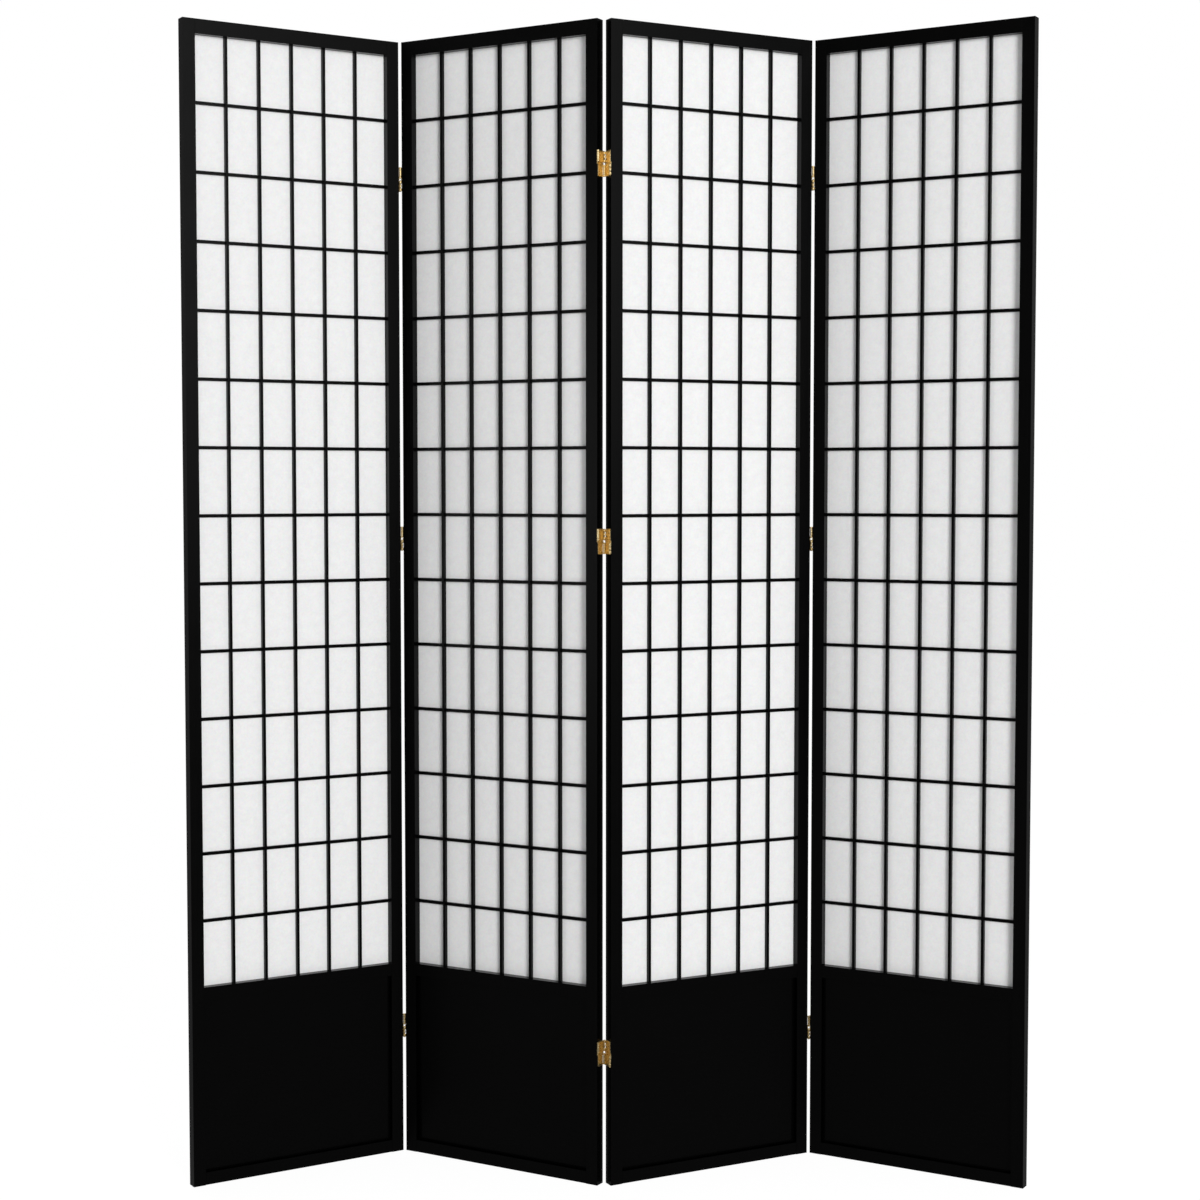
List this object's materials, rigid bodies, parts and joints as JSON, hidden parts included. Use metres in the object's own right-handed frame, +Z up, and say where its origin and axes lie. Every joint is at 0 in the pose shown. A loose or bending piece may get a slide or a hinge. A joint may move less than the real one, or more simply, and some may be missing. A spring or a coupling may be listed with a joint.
{
  "type": "shoji folding screen",
  "caption": "Tall free-standing folding screen: black lacquered wood panels with a lattice over white rice paper and a plain kick panel, joined by brass two-way hinges.",
  "frame": {"origin": "on the floor, in the middle of the box that the folded-out screen stands in", "axes": "+Z up, +X along the screen to the right as seen from the front, +Y to the back; the lattice side faces -Y"},
  "size_m": [1.5498, 0.255, 2.134],
  "materials": {
    "black_lacquer": "satin",
    "rice_paper": "matte",
    "hinge_brass": "satin"
  },
  "bodies": {
    "panel_1": {"panel_1_stile_left": "black_lacquer", "panel_1_stile_right": "black_lacquer", "panel_1_top_rail": "black_lacquer", "panel_1_kick_unit": "black_lacquer", "panel_1_lattice": "black_lacquer", "panel_1_paper": "rice_paper", "hinge_12_lower_leaf_left": "hinge_brass", "hinge_12_lower_link_lower": "hinge_brass", "hinge_12_middle_leaf_left": "hinge_brass", "hinge_12_middle_link_lower": "hinge_brass", "hinge_12_upper_leaf_left": "hinge_brass", "hinge_12_upper_link_lower": "hinge_brass"},
    "panel_2": {"panel_2_stile_left": "black_lacquer", "panel_2_stile_right": "black_lacquer", "panel_2_top_rail": "black_lacquer", "panel_2_kick_unit": "black_lacquer", "panel_2_lattice": "black_lacquer", "panel_2_paper": "rice_paper", "hinge_12_lower_leaf_right": "hinge_brass", "hinge_12_lower_link_upper": "hinge_brass", "hinge_12_middle_leaf_right": "hinge_brass", "hinge_12_middle_link_upper": "hinge_brass", "hinge_12_upper_leaf_right": "hinge_brass", "hinge_12_upper_link_upper": "hinge_brass", "hinge_23_lower_leaf_left": "hinge_brass", "hinge_23_lower_link_upper": "hinge_brass", "hinge_23_middle_leaf_left": "hinge_brass", "hinge_23_middle_link_upper": "hinge_brass", "hinge_23_upper_leaf_left": "hinge_brass", "hinge_23_upper_link_upper": "hinge_brass"},
    "panel_3": {"panel_3_stile_left": "black_lacquer", "panel_3_stile_right": "black_lacquer", "panel_3_top_rail": "black_lacquer", "panel_3_kick_unit": "black_lacquer", "panel_3_lattice": "black_lacquer", "panel_3_paper": "rice_paper", "hinge_23_lower_leaf_right": "hinge_brass", "hinge_23_lower_link_lower": "hinge_brass", "hinge_23_middle_leaf_right": "hinge_brass", "hinge_23_middle_link_lower": "hinge_brass", "hinge_23_upper_leaf_right": "hinge_brass", "hinge_23_upper_link_lower": "hinge_brass", "hinge_34_lower_leaf_left": "hinge_brass", "hinge_34_lower_link_lower": "hinge_brass", "hinge_34_middle_leaf_left": "hinge_brass", "hinge_34_middle_link_lower": "hinge_brass", "hinge_34_upper_leaf_left": "hinge_brass", "hinge_34_upper_link_lower": "hinge_brass"},
    "panel_4": {"panel_4_stile_left": "black_lacquer", "panel_4_stile_right": "black_lacquer", "panel_4_top_rail": "black_lacquer", "panel_4_kick_unit": "black_lacquer", "panel_4_lattice": "black_lacquer", "panel_4_paper": "rice_paper", "hinge_34_lower_leaf_right": "hinge_brass", "hinge_34_lower_link_upper": "hinge_brass", "hinge_34_middle_leaf_right": "hinge_brass", "hinge_34_middle_link_upper": "hinge_brass", "hinge_34_upper_leaf_right": "hinge_brass", "hinge_34_upper_link_upper": "hinge_brass"}
  },
  "joints": [
    {"name": "fold_12", "type": "hinge", "parent": "panel_1", "child": "panel_2", "pos_m": [-0.39496, 0.10581, 1.192], "axis": [0, 0, -1], "range_deg": [-61.7, 117.3]},
    {"name": "fold_23", "type": "hinge", "parent": "panel_2", "child": "panel_3", "pos_m": [-0.00682, -0.09318, 1.192], "axis": [0, 0, 1], "range_deg": [-57.7, 121.3]},
    {"name": "fold_34", "type": "hinge", "parent": "panel_3", "child": "panel_4", "pos_m": [0.38964, 0.08869, 1.192], "axis": [0, 0, -1], "range_deg": [-57.7, 121.3]}
  ]
}
